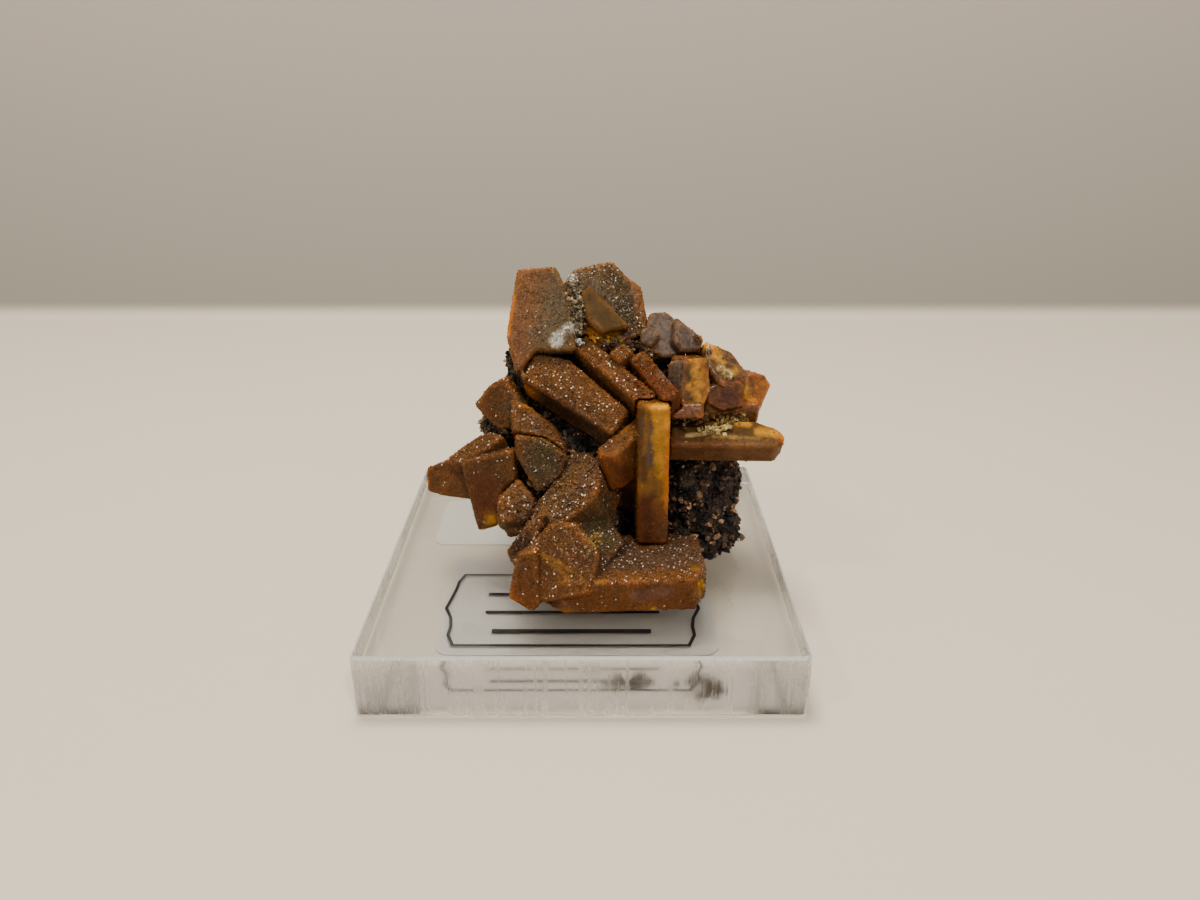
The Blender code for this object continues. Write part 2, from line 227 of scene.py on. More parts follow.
# Where the colour changes on the crystals: colour, reach, and a place or two ends of a streak, in millimetres.
# Each one is laid over those before it.
PATCHES = [
    ("rust", 4.0, (-10, 4, 43), (-8.5, 9, 53)),
    ("orange", 0.7, (-12.0, 5.0, 45), (-11.2, 8.0, 51)),
    ("dust", 4.2, (-4.5, 4, 45), (-3, 7.5, 51)),
    ("dust", 3.6, (0.5, 6.5, 50), (3.0, 7.5, 52)),
    ("ash", 2.8, (6.0, 6.4, 46.6), (7.4, 8.4, 51)),
    ("tan", 1.6, (3.8, 8.5, 53), (5.6, 8.4, 52)),
    ("ash", 1.8, (5.4, 9.4, 52.6), (7.8, 8.6, 49.6)),
    ("rust", 1.6, (9.6, 8, 48), (8, 10, 53)),
    ("cocoa", 0.8, (-7.0, 4.3, 45.2)),
    # Painted glint where the druse on the plates catches the light
    ("painted_glint", 1.3, (-4.4, 4.4, 43.8), (-0.9, 6.2, 46.6)),
    ("tea", 2.6, (0.6, 5.6, 51.4), (5.0, 5.0, 46.0)),
    ("red", 1.2, (1.2, 5.4, 45.0), (6.5, 5.4, 45.0)),
    ("yellow", 0.9, (1.2, 6.0, 44.9), (2.0, 5.8, 44.5)),
    ("yellow", 1.0, (3.6, 5.6, 44.4), (5.0, 5.6, 44.2)),
    ("orange", 2.2, (-9, 1.8, 35.4)),
    ("deep", 2.6, (-5, 0, 36), (3, -5.5, 31.5)),
    ("red", 3.0, (9, -2, 41), (13, -5.5, 38)),
    ("honey", 3.2, (11, -9, 36), (10.5, -9.6, 26)),
    ("honey", 1.8, (11.0, -9.4, 32), (11.2, -9.6, 24)),
    ("yellow", 1.9, (10.8, -9, 38.4), (12.4, -9, 32.5)),
    ("umber", 1.2, (8.8, -9.0, 38.6), (9.0, -9.4, 27)),
    ("purple", 0.9, (9.4, -9.2, 35.5), (10.2, -9.3, 29.5)),
    ("honey", 0.4, (9.6, -9.2, 37.5), (9.3, -9.4, 31)),
    ("yellow", 1.0, (11.2, -9.2, 33), (11.8, -9.4, 27.5)),
    ("orange", 1.0, (13.2, -9.4, 34), (13.0, -10.2, 20)),
    ("brown", 3.6, (5.6, -7.7, 32.2)),
    ("red", 2.2, (4.4, -9.9, 28.4), (6, -9, 26.6)),
    ("amber", 0.8, (3.6, -10.2, 29.4), (5.2, -9.6, 25.6)),
    ("red", 4.0, (6.6, -2.3, 19), (6.6, -2.3, 15)),
    ("cocoa", 4.5, (1, -5, 29), (-7, -12, 21)),
    ("tan", 2.2, (-0.5, -7, 28.5), (-6, -11.5, 22)),
    ("cocoa", 6.5, (4, -15, 16), (14, -13, 16)),
    ("amber", 2.6, (10.4, -9.4, 21), (10.6, -9.6, 13)),
    ("red", 1.6, (9.6, -10, 23), (9.8, -10.4, 15)),
    ("resin", 4.0, (-4, -20, 17)),
    ("ash", 3.2, (2.0, -10, 22), (2.6, -13, 18)),
    ("olive", 1.5, (1.4, -17, 20)),
    ("amber", 4.0, (0, -21, 12), (14, -21, 12.5)),
    ("honey", 0.7, (-3.4, -21.2, 10.9), (-1, -21.2, 10.9)),
    ("yellow", 0.4, (10.4, -21.2, 10.9)),
    ("plum", 1.1, (8, -21.2, 13.4), (12.5, -21.2, 13.8)),
    ("plum", 1.0, (-4.5, -21, 12.6), (-2.5, -21.2, 12)),
    ("honey", 0.5, (-6.0, -18.8, 19.0), (-1.0, -20.9, 15.2)),
    ("honey", 0.5, (-6.8, -19.4, 16.4), (-2.6, -21.0, 12.8)),
    ("honey", 0.4, (-4.4, -19.4, 18.6), (0.6, -20.9, 15.6)),
    ("honey", 0.4, (2.0, -21.0, 15.4), (3.4, -21.0, 15.5)),
    ("honey", 1.4, (17, -19.5, 14)),
    ("yellow", 0.6, (17, -19.8, 14.6), (17.2, -19, 12.4)),
    ("honey", 0.8, (16.6, -18, 16)),
    ("amber", 3.4, (-9, -20.6, 13.5)),
    ("orange", 1.5, (-10.8, -20.6, 12)),
    ("deep", 2.4, (-9.2, -16.4, 19)),
    ("dust", 1.6, (-12, -10.6, 18.9)),
    ("ash", 3.6, (-6.6, -6.4, 28)),
    ("dust", 2.2, (-10.6, 1.8, 34)),
    ("red", 2.6, (-15.5, -5, 23), (-15, -5.6, 20)),
    ("amber", 1.6, (-15, -5.6, 18.4)),
    ("yellow", 1.1, (-14.8, -5.9, 17.6)),
    ("resin", 3.0, (-25, 0, 21.5), (-20, -0.6, 22)),
    ("orange", 1.2, (-26.4, 0.3, 21.4)),
    ("brown", 3.5, (14.5, -5, 30), (20, -5, 30)),
    ("umber", 2.4, (15, -3.2, 32.2), (29, -3, 32.2)),
    ("fawn", 1.6, (23, -5.6, 29.4), (30, -5.4, 29.8)),
    ("yellow", 0.8, (24.2, -2.2, 32.6), (25.6, -2.2, 32.6)),
    ("yellow", 1.0, (27.4, -3.6, 32), (29.4, -3.8, 31.6)),
    ("olive", 0.4, (20, -4.7, 31.6), (27, -4.7, 31.4)),
    ("rust", 1.2, (20, -6, 28.6), (29, -5.6, 28.6)),
    ("orange", 1.0, (31, -4, 30.8)),
    ("cream", 0.5, (16, -4.8, 31.6), (20.6, -4.2, 32.4)),
    ("purple", 2.2, (14.0, -2, 42), (14.0, -2.4, 39)),
    ("umber", 2.4, (17.4, -2.6, 42), (17.4, -3, 37)),
    ("yellow", 1.5, (17.4, -2.7, 42.4), (18.4, -2.7, 39)),
    ("yellow", 1.1, (16.6, -2.9, 39), (18, -3, 36.6)),
    ("orange", 0.8, (18.6, -2.6, 42), (18.7, -3, 38)),
    ("brown", 1.3, (19.9, -0.7, 40)),
    ("umber", 4.0, (21, 1.2, 42)),
    ("yellow", 1.2, (18.8, 2.0, 44.4), (21.4, 1.2, 41.8)),
    ("deep", 0.8, (19.2, 1.2, 43.2)),
    ("tan", 1.2, (22.6, 1.6, 42), (24.6, 1, 40)),
    ("cream", 0.8, (21.0, 0.4, 40.6), (22.4, 0.2, 40.0)),
    ("yellow", 0.9, (23.4, 0.9, 40.4)),
    ("red", 2.6, (22.4, -1.5, 36.3)),
    ("yellow", 1.2, (25.4, 1.0, 37.6), (26, 1.2, 35)),
    ("orange", 3.0, (28.6, 2.2, 36)),
    ("yellow", 0.6, (27.2, 1.4, 38.6), (29.4, 1.6, 36.8)),
    ("deep", 1.1, (17.6, 2.2, 44.4)),
    ("tan", 1.5, (11.0, 3.6, 43.6)),
]

# Edge of a patch: how far its full colour spreads, how ragged and how soft its edge is, and the noise that makes
# it ragged, as size and strength
PATCH_SPREAD = 0.2
PATCH_RAGGED = 0.45
PATCH_SOFT = 0.75
RAGGED_MM = ((1.6, 1.0), (0.5, 0.6))

# Where the druse is coarser: place, reach in millimetres, and how many times larger. A share of the grains there
# is larger.
COARSE = [
    ((-1, -7, 27), 5, 2.0),
    ((-6, -11, 22), 5, 1.9),
    ((10.9, -3, 40.3), 5, 1.7),
    ((-10.5, -9, 23), 4, 1.4),
    ((5, -8, 31), 4, 1.5),
]
COARSE_SHARE = 0.3

# Crusts of tiny crystals in the corners between crystals: colour, reach, number, and a place or two ends, in
# millimetres
CRUSTS = [
    ("dust", 1.0, 300, (-1.5, 7.1, 52.6), (-0.8, 5.4, 46.6)),
    ("fog", 1.0, 260, (-1.5, 6.9, 52.6), (-0.8, 5.2, 46.6)),
    ("cream", 0.8, 60, (-1.6, 7.0, 52.0), (-0.8, 5.8, 47.6)),
    # The crusts in painted_glint are painted glints along the seam and the notch of the plates
    ("painted_glint", 0.9, 220, (-4.2, 4.6, 44.0), (-1.0, 5.7, 46.4)),
    ("painted_glint", 0.6, 60, (-1.8, 7.8, 53.4), (-1.2, 7.6, 52.4)),
    ("cream", 0.6, 70, (17.5, -4.2, 32.1), (22.5, -3.4, 32.5)),
    ("olive", 0.7, 110, (20.5, -2.6, 32.7), (25.5, -0.8, 32.9)),
    ("umber", 1.0, 160, (20.0, -1.0, 33.2), (27.0, 1.0, 33.4)),
    ("umber", 1.0, 120, (15.0, -3.2, 34.0), (19.0, -3.4, 34.6)),
    ("yellow", 0.6, 60, (1.2, 5.6, 44.4), (3.6, 5.4, 43.8)),
    ("olive", 0.6, 50, (4.2, 5.4, 43.6), (6.0, 5.4, 43.8)),
    ("cream", 0.5, 50, (21.2, 0.0, 40.4), (22.6, -0.4, 39.4)),
    ("cocoa", 0.9, 220, (3.0, 5.0, 42.8), (9.6, 4.4, 43.2)),
    ("tan", 0.6, 60, (10.0, 2.6, 43.4), (11.4, 2.4, 42.2)),
    ("painted_glint", 0.5, 40, (-1.6, 4.6, 44.2), (-0.4, 4.4, 43.6)),
    ("olive", 0.7, 60, (1.0, -19.4, 19.6), (2.4, -16.0, 20.6)),
    ("yellow", 0.5, 40, (17.0, -20.0, 14.8), (17.4, -18.6, 12.6)),
]

# The crusts' crystals: smallest and largest size, and how much darker and lighter they may be
CRUST_MM = (0.2, 0.6)
CRUST_TONES = (0.5, 1.5)

# Printed border of the label, as half of its outline from the middle of the front line to the middle of the back
# line, with the width of the line, the thickness of the ink and the height of its underside
BORDER_MM = [(-1.7, -22.9), (-19.3, -22.8), (-20.4, -20.1), (-20.3, -17.8), (-20.6, -15.7), (-21.7, -13.0),
             (-21.4, -11.3), (-21.1, -9.3), (-20.8, -7.2), (-20.7, -5.4), (-19.9, -3.0), (-1.7, -3.0)]
BORDER_WIDE_MM = 0.5
INK_THICK_MM = 0.04
INK_AT_MM = 0.49

# Plain ruled lines of the label: distance back, half length and width
RULES_MM = ((-19.0, 12.0, 1.0), (-14.0, 13.5, 0.7), (-9.0, 13.5, 0.7))

# Frosted edges of the block: least and most upright direction of a bevel, and how thick the band is
EDGE_STEEP = (0.2, 0.95)
EDGE_THICK_MM = 0.02

# Acrylic: its tint and how strongly it bends light, the size of its scuffs, and the size and depth of the saw marks,
# which are drawn out upright
ACRYLIC_TINT = (0.985, 0.99, 0.98, 1.0)
ACRYLIC_IOR = 1.49
SCUFF_MM = 7.0
SAW_MM = 0.7
SAW_DEPTH_MM = 0.08
SAW_DRAWN = (1.0, 1.0, 0.03)

# Plain materials: size in millimetres and detail of their faint clouds, two colours, how see-through, and roughness
PLAIN_FINISHES = {
    "frosted_acrylic_edge": (0.5, 4.0, (0.50, 0.50, 0.46), (0.78, 0.77, 0.72), 0.35, 0.5),
    "label_film": (8.0, 3.0, (0.53, 0.495, 0.44), (0.59, 0.55, 0.49), 0.0, 0.4),
    "sticker_cream": (3.0, 3.0, (0.66, 0.64, 0.55), (0.76, 0.74, 0.64), 0.0, 0.6),
    "label_ink": (0.4, 3.0, (0.008, 0.008, 0.010), (0.03, 0.03, 0.035), 0.0, 0.35),
}


def stand_in(name, mesh, finish, solid=None):
    """Puts a finished mesh in the scene, in place of a solid of the frame where one is named."""
    mesh.materials.append(finish)
    piece = bpy.data.objects.new(name, mesh)
    bpy.context.scene.collection.objects.link(piece)
    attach(piece, "root")
    if solid:
        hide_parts(solid)


def merged(solid):
    """One solid of the frame as a bmesh, with its triangles joined at their corners."""
    bm = bmesh.new()
    bm.from_mesh(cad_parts[solid].data)
    bmesh.ops.remove_doubles(bm, verts=bm.verts, dist=SAME_CORNER_MM * MM)
    return bm


def as_mesh(bm, name):
    """The mesh of a bmesh, which is used up."""
    mesh = bpy.data.meshes.new(name)
    bm.to_mesh(mesh)
    bm.free()
    return mesh


def remeshed(solid, grid_mm):
    """The form of one solid of the frame as an even grid of small faces."""
    coarse = as_mesh(merged(solid), solid + "_copy")
    holder = bpy.data.objects.new("holder", coarse)
    bpy.context.scene.collection.objects.link(holder)
    step = holder.modifiers.new("grid", "REMESH")
    step.mode = "VOXEL"
    step.voxel_size = grid_mm * MM
    fine = bpy.data.meshes.new_from_object(holder.evaluated_get(bpy.context.evaluated_depsgraph_get()))
    bpy.data.objects.remove(holder)
    bpy.data.meshes.remove(coarse)
    return fine


def places_of(mesh):
    """Places of the points of a mesh, one to a row."""
    found = np.empty(len(mesh.vertices) * 3, np.float32)
    mesh.vertices.foreach_get("co", found)
    return found.reshape(-1, 3)


def directions_of(mesh):
    """Directions that the surface faces at the points of a mesh, one to a row."""
    found = np.empty(len(mesh.vertices) * 3, np.float32)
    mesh.vertex_normals.foreach_get("vector", found)
    return found.reshape(-1, 3)


def noise_over(places, size_mm):
    """Smooth noise from about -1 to 1 at each place."""
    return np.array([noise.noise(Vector(p)) for p in places / (size_mm * MM)])


def bumpy(mesh, bumps_mm, out_mm):
    """Moves each point out along its normal, by noise of several sizes."""
    places = places_of(mesh)
    push = out_mm + sum(height * noise_over(places, size) for size, height in bumps_mm)
    moved = places + directions_of(mesh) * (push * MM)[:, None]
    mesh.vertices.foreach_set("co", moved.astype(np.float32).ravel())
    mesh.update()
    mesh.shade_smooth()
    return mesh


def surface_points(mesh, per_mm2, rng):
    """Random points spread evenly over a mesh, with the surface's direction at each."""
    mesh.calc_loop_triangles()
    corners = np.empty(len(mesh.loop_triangles) * 3, np.int32)
    mesh.loop_triangles.foreach_get("vertices", corners)
    a, b, c = places_of(mesh)[corners.reshape(-1, 3)].transpose(1, 0, 2)
    across = np.cross(b - a, c - a)
    area = np.linalg.norm(across, axis=1) / 2
    count = int(per_mm2 * area.sum() / MM ** 2)
    picked = rng.choice(len(area), count, p=area / area.sum())
    u, v = rng.random((2, count, 1))
    flip = u + v > 1
    u = np.where(flip, 1 - u, u)
    v = np.where(flip, 1 - v, v)
    spots = a[picked] + u * (b - a)[picked] + v * (c - a)[picked]
    return spots, across[picked] / (2 * area[picked, None])


def random_turns(count, rng):
    """That many even random rotations, as 3 by 3 matrices."""
    q = rng.normal(size=(count, 4))
    w, x, y, z = (q / np.linalg.norm(q, axis=1, keepdims=True)).T
    rows = [
        [1 - 2 * (y * y + z * z), 2 * (x * y - z * w), 2 * (x * z + y * w)],
        [2 * (x * y + z * w), 1 - 2 * (x * x + z * z), 2 * (y * z - x * w)],
        [2 * (x * z - y * w), 2 * (y * z + x * w), 1 - 2 * (x * x + y * y)],
    ]
    return np.array(rows).transpose(2, 0, 1)


def many(grain, spots, turns, sizes, name):
    """One mesh of many copies of a grain, each with its own place, turn and size."""
    form = np.array([v.co for v in grain.verts])
    faces = np.array([[v.index for v in f.verts] for f in grain.faces])
    grain.free()
    points = np.einsum("nij,kj->nki", turns, form) * sizes[:, None, None] + spots[:, None, :]
    loops = faces[None] + (np.arange(len(spots)) * len(form))[:, None, None]
    mesh = bpy.data.meshes.new(name)
    mesh.from_pydata(points.reshape(-1, 3), [], loops.reshape(-1, faces.shape[1]))
    return mesh


def tiny_crystal():
    """A square tablet one unit across."""
    bm = bmesh.new()
    bmesh.ops.create_cube(bm, size=1.0, matrix=Matrix.Diagonal((*TABLET_FORM, 1.0)))
    return bm


def rock_grain():
    """A rough lump about one unit across."""
    bm = bmesh.new()
    bmesh.ops.create_icosphere(bm, subdivisions=1, radius=0.5, matrix=Matrix.Diagonal((*GRAIN_FORM, 1.0)))
    rng = np.random.default_rng(GRAIN_SEED)
    for corner in bm.verts:
        corner.co *= rng.uniform(*GRAIN_CORNERS)
    return bm


def nearness(places, ends, reach):
    """1 at a place or along a streak between two ends, 0 at its reach, less beyond it."""
    ends = np.array(ends) * MM
    along = ends[-1] - ends[0]
    share = np.clip((places - ends[0]) @ along / max(along @ along, 1e-12), 0, 1)
    return 1 - np.linalg.norm(places - ends[0] - share[:, None] * along, axis=1) / (reach * MM)


def painted(places, directions, colour, cover):
    """Colour and druse cover at each place: the main colour, the patches over it, and more druse facing up."""
    paint = np.tile(np.array(PALETTE[colour]), (len(places), 1))
    ragged = sum(strength * noise_over(places, size) for size, strength in RAGGED_MM)
    for patch, reach, *ends in PATCHES:
        share = (nearness(places, ends, reach) + PATCH_SPREAD + PATCH_RAGGED * ragged) / PATCH_SOFT
        share = np.clip(share, 0, 1)[:, None]
        paint = paint * (1 - share) + np.array(PALETTE[patch]) * share
    up = np.clip(directions[:, 2], COVER_LOWEST, 1)
    share = COVER_UPRIGHT + COVER_FACING_UP * up + COVER_RAGGED * ragged
    paint[:, 3] = np.clip(paint[:, 3] * cover * share, 0, 1)
    return paint


def rims(mesh, passes):
    """How near each point is to an outward edge, from 0 on flat faces and in hollows to 1 on a sharp edge."""
    pairs = np.empty(len(mesh.edges) * 2, np.int32)
    mesh.edges.foreach_get("vertices", pairs)
    first, second = pairs.reshape(-1, 2).T
    count = len(mesh.vertices)
    joins = np.bincount(first, minlength=count) + np.bincount(second, minlength=count)

    def around(values):
        return (np.bincount(first, values[second], count) + np.bincount(second, values[first], count)) / joins

    places = places_of(mesh).astype(float)
    inward = places - np.column_stack([around(places[:, axis]) for axis in range(3)])
    bend = (inward * directions_of(mesh)).sum(axis=1)
    for _ in range(passes):
        bend = 0.5 * bend + 0.5 * around(bend)
    return np.clip(bend / (RIM_BEND_MM * MM), 0, 1)


def keep_paint(mesh, paint):
    """Stores colour and druse cover on the points of a mesh, for its material to read. A mesh of many copies of a
    grain has one row of paint to a copy."""
    paint = np.repeat(paint, len(mesh.vertices) // len(paint), axis=0)
    layer = mesh.attributes.new("paint", "FLOAT_COLOR", "POINT")
    layer.data.foreach_set("color", paint.astype(np.float32).ravel())


def node(tree, kind, settings=None, **inputs):
    """Adds a shader node. A value that is a socket is linked, any other is set."""
    made = tree.nodes.new("ShaderNode" + kind)
    for key, value in (settings or {}).items():
        setattr(made, key, value)
    for key, value in inputs.items():
        target = made.inputs[int(key[1:])] if key[1:].isdigit() else made.inputs[key.replace("_", " ")]
        if isinstance(value, bpy.types.NodeSocket):
            tree.links.new(value, target)
        else:
            target.default_value = value
    return made


def new_material(name):
    """A material with its node tree and its shader."""
    made = bpy.data.materials.new(name)
    made.use_nodes = True
    shader = made.node_tree.nodes["Principled BSDF"]
    return made, made.node_tree, shader


def mapped(tree):
    """The place on the object, which every pattern is laid out on."""
    return node(tree, "TexCoord").outputs["Object"]


def noise_at(tree, where, size_mm, detail=3.0, roughness=0.55):
    """Cloudy noise whose lumps are about size_mm across."""
    cloud = node(tree, "TexNoise", Vector=where, Scale=1 / (size_mm * MM), Detail=detail, Roughness=roughness)
    return cloud.outputs[0]


def cells_at(tree, where, size_mm):
    """Cells about size_mm across, each with its own random colour."""
    return node(tree, "TexVoronoi", Vector=where, Scale=1 / (size_mm * MM)).outputs["Color"]


def split(tree, colour):
    """The three numbers of a colour."""
    return node(tree, "SeparateColor", Color=colour).outputs


def painted_on(tree):
    """The colour that is stored on the mesh, and the druse cover stored with it."""
    paint = node(tree, "Attribute", {"attribute_name": "paint"})
    return paint.outputs["Color"], paint.outputs["Alpha"]


def mixed(tree, amount, first, second):
    """The first colour where the amount is 0, the second where it is 1."""
    made = node(tree, "Mix", {"data_type": "RGBA"}, i0=amount)
    for value, socket in ((first, made.inputs[6]), (second, made.inputs[7])):
        if isinstance(value, bpy.types.NodeSocket):
            tree.links.new(value, socket)
        else:
            socket.default_value = (*value, 1.0)
    return made.outputs[2]


def steps(tree, value, low, high, bottom=0.0, top=1.0):
    """bottom where the value is low or less, top where it is high or more, even between."""
    return node(tree, "MapRange", Value=value, From_Min=low, From_Max=high, To_Min=bottom, To_Max=top).outputs[0]


def maths(tree, kind, first, second):
    """Two numbers added, multiplied and so on."""
    return node(tree, "Math", {"operation": kind}, i0=first, i1=second).outputs[0]


def times(tree, vector, number):
    """A colour or direction multiplied by a number."""
    return node(tree, "VectorMath", {"operation": "SCALE"}, i0=vector, Scale=number).outputs[0]


def plus(tree, first, second):
    """The sum of two directions."""
    return node(tree, "VectorMath", {"operation": "ADD"}, i0=first, i1=second).outputs[0]


def wulfenite_colour(tree, where, fine, facets, veils):
    """Painted colour under clouds, veils and grain, with gilt flecks, and painted sparkles and glints where the
    druse is thick.
    """
    colour, cover = painted_on(tree)
    parts = split(tree, facets)
    cloud = noise_at(tree, where, CLOUD_MM)
    shade = maths(tree, "MULTIPLY", steps(tree, cloud, 0.3, 0.7, 0.8, 1.2), steps(tree, fine, 0.3, 0.7, 0.85, 1.15))
    veil = node(tree, "TexNoise", Vector=where, Scale=1 / (VEIL_MM * MM), Detail=6.0, Distortion=1.6).outputs[0]
    shade = maths(tree, "MULTIPLY", shade, steps(tree, veil, 0.38, 0.62, 1 - veils, 1 + 1.2 * veils))
    grain = steps(tree, parts[0], 0.0, 1.0, -0.2, 0.25)
    shade = maths(tree, "MULTIPLY", shade, maths(tree, "ADD", maths(tree, "MULTIPLY", grain, cover), 1.0))
    colour = times(tree, colour, shade)

    # A few specks painted lighter as sparkle, more of them where the druse is thick
    sparkle_luck = split(tree, cells_at(tree, where, SPARKLE_MM))[0]
    sparkle_luck = maths(tree, "ADD", sparkle_luck, maths(tree, "MULTIPLY", cover, 0.12))
    colour = times(tree, colour, steps(tree, sparkle_luck, 1.0, 1.005, 1.0, 1.8))

    # Gilt flecks, and painted glints on the few facets that would flash
    gilt = maths(tree, "MULTIPLY", steps(tree, parts[1], 0.80, 0.98, 0.0, 0.28), cover)
    colour = mixed(tree, gilt, colour, GILT_COLOUR)
    chance = maths(tree, "MULTIPLY", maths(tree, "MULTIPLY", cover, cover), 0.03)
    glint_share = steps(tree, maths(tree, "ADD", parts[1], chance), 1.0, 1.005, 0.0, 0.8)
    return mixed(tree, glint_share, colour, PAINTED_GLINT_COLOUR)


def facet_directions(tree, fine, facets, cover):
    """Fine bumps, with every tiny facet of the druse tilted its own way."""
    bump = node(tree, "Bump", Strength=0.4, Distance=FINE_DEPTH_MM * MM, Height=fine)
    middle = node(tree, "CombineXYZ", X=-0.5, Y=-0.5, Z=-0.5)
    tilt = times(tree, plus(tree, facets, middle.outputs[0]), steps(tree, cover, 0.1, 1.0, 0.12, 1.0))
    return node(tree, "VectorMath", {"operation": "NORMALIZE"}, i0=plus(tree, bump.outputs[0], tilt)).outputs[0]


def wulfenite(name, glow, polish, veils, bare):
    """Wulfenite under druse: painted colour, cloudy growth, and tiny facets that catch the light."""
    made, tree, shader = new_material(name)
    where = mapped(tree)
    _, cover = painted_on(tree)
    fine = noise_at(tree, where, FINE_MM, detail=4.0)
    facets = cells_at(tree, where, FACET_MM)
    tree.links.new(wulfenite_colour(tree, where, fine, facets, veils), shader.inputs["Base Color"])
    glints = steps(tree, split(tree, facets)[2], 0.35, 0.75, 0.55, 0.10)
    smooth = steps(tree, fine, 0.35, 0.65, *bare)
    rough = node(tree, "Mix", i0=steps(tree, cover, 0.1, 0.6), i2=smooth, i3=glints).outputs[0]
    tree.links.new(rough, shader.inputs["Roughness"])
    tree.links.new(facet_directions(tree, fine, facets, cover), shader.inputs["Normal"])
    shader.inputs["Specular IOR Level"].default_value = polish
    shader.inputs["Subsurface Weight"].default_value = glow
    shader.inputs["Subsurface Radius"].default_value = GLOW_COLOURS
    shader.inputs["Subsurface Scale"].default_value = GLOW_REACH_MM * MM
    return made


def rock_material():
    """Brown-black granular rock, dull with a few smoother spots, in the colours stored on its pieces."""
    made, tree, shader = new_material("dark_matrix")
    where = mapped(tree)
    colour, _ = painted_on(tree)
    grain = noise_at(tree, where, ROCK_FINE_MM, detail=5.0)
    tree.links.new(times(tree, colour, steps(tree, grain, 0.35, 0.7, 0.35, 2.2)), shader.inputs["Base Color"])
    tree.links.new(steps(tree, grain, 0.3, 0.75, 0.8, 0.25), shader.inputs["Roughness"])
    bump = node(tree, "Bump", Strength=1.0, Distance=ROCK_DEPTH_MM * MM, Height=grain)
    tree.links.new(bump.outputs[0], shader.inputs["Normal"])
    shader.inputs["Specular IOR Level"].default_value = ROCK_POLISH
    return made


def acrylic_material():
    """Clear acrylic: polished above and below, with faint upright saw marks on its four sides."""
    made, tree, shader = new_material("clear_acrylic_block")
    shader.inputs["Base Color"].default_value = ACRYLIC_TINT
    shader.inputs["Transmission Weight"].default_value = 1.0
    shader.inputs["IOR"].default_value = ACRYLIC_IOR
    where = mapped(tree)
    scuffs = noise_at(tree, where, SCUFF_MM, detail=8.0, roughness=0.7)
    facing = node(tree, "NewGeometry").outputs["Normal"]
    steep = maths(tree, "ABSOLUTE", node(tree, "SeparateXYZ", Vector=facing).outputs["Z"], 0.0)
    side = steps(tree, steep, 0.1, 0.9, 1.0, 0.0)
    cloudy = maths(tree, "MULTIPLY", side, steps(tree, scuffs, 0.3, 0.7, 0.10, 0.30))
    faint = steps(tree, scuffs, 0.5, 0.8, 0.0, 0.05)
    drawn = node(tree, "VectorMath", {"operation": "MULTIPLY"}, i0=where, i1=SAW_DRAWN).outputs[0]
    saw = maths(tree, "MULTIPLY", noise_at(tree, drawn, SAW_MM, detail=4.0), side)
    streaks = steps(tree, saw, 0.5, 0.65, 0.0, 0.16)
    rough = maths(tree, "ADD", maths(tree, "ADD", cloudy, faint), streaks)
    tree.links.new(rough, shader.inputs["Roughness"])
    bump = node(tree, "Bump", Strength=0.45, Distance=SAW_DEPTH_MM * MM, Height=saw)
    tree.links.new(bump.outputs[0], shader.inputs["Normal"])
    return made


def plain_material(name):
    """Frosted acrylic, label film, sticker paper or ink: two close colours in faint clouds."""
    size_mm, detail, first, second, clear, rough = PLAIN_FINISHES[name]
    made, tree, shader = new_material(name)
    cloud = noise_at(tree, mapped(tree), size_mm, detail)
    tree.links.new(mixed(tree, cloud, first, second), shader.inputs["Base Color"])
    shader.inputs["Transmission Weight"].default_value = clear
    shader.inputs["Roughness"].default_value = rough
    return made


def dress_crystals():
    """Gives every crystal solid its skin and its druse, and the corners between them their crusts."""
    finishes = {slot: wulfenite(*settings) for slot, settings in FINISHES.items()}
    rng = np.random.default_rng(DRUSE_SEED)
    for name, (slot, colour, cover) in CRYSTALS.items():
        skin = crystal_skin(name, colour, cover)
        stand_in(name + "_skin", skin, finishes[slot], name)
        stand_in(name + "_druse", crystal_druse(name, skin, colour, cover, rng), finishes[slot])
    stand_in("crusts", crusts(), finishes["amber_wulfenite"])


def crystal_skin(name, colour, cover):
    """The bumpy skin of one crystal solid, painted, with a painted glow on its edges."""
    skin = remeshed(name, SKIN_GRID_MM)
    rim = rims(skin, RIM_STEPS)[:, None]
    bumpy(skin, SKIN_BUMPS_MM, SKIN_OUT_MM)
    paint = painted(places_of(skin), directions_of(skin), colour, cover)
    # Painted glow: the colour gets lighter and more orange towards sharp edges
    paint[:, :3] *= 1 - rim + rim * np.array(RIM_GLOW_COLOUR)
    keep_paint(skin, paint)
    return skin


def crystal_druse(name, skin, colour, cover, rng):
    """The tiny crystals that grow on one skin, thick or thin as its paint says."""
    spots, facing = surface_points(skin, DRUSE_PER_MM2, rng)
    paint = painted(spots, facing, colour, cover)
    kept = rng.random(len(spots)) < DRUSE_LEAST + (1 - DRUSE_LEAST) * paint[:, 3]
    spots, paint = spots[kept], paint[kept]
    sizes = rng.uniform(*DRUSE_MM, len(spots)) * MM
    for middle, reach, larger in COARSE:
        near = np.linalg.norm(spots / MM - np.array(middle), axis=1) < reach
        sizes[near & (rng.random(len(spots)) < COARSE_SHARE)] *= larger
    druse = many(tiny_crystal(), spots, random_turns(len(spots), rng), sizes, name + "_druse")
    paint[:, :3] *= rng.uniform(*DRUSE_TONES, (len(spots), 1))
    keep_paint(druse, paint)
    return druse


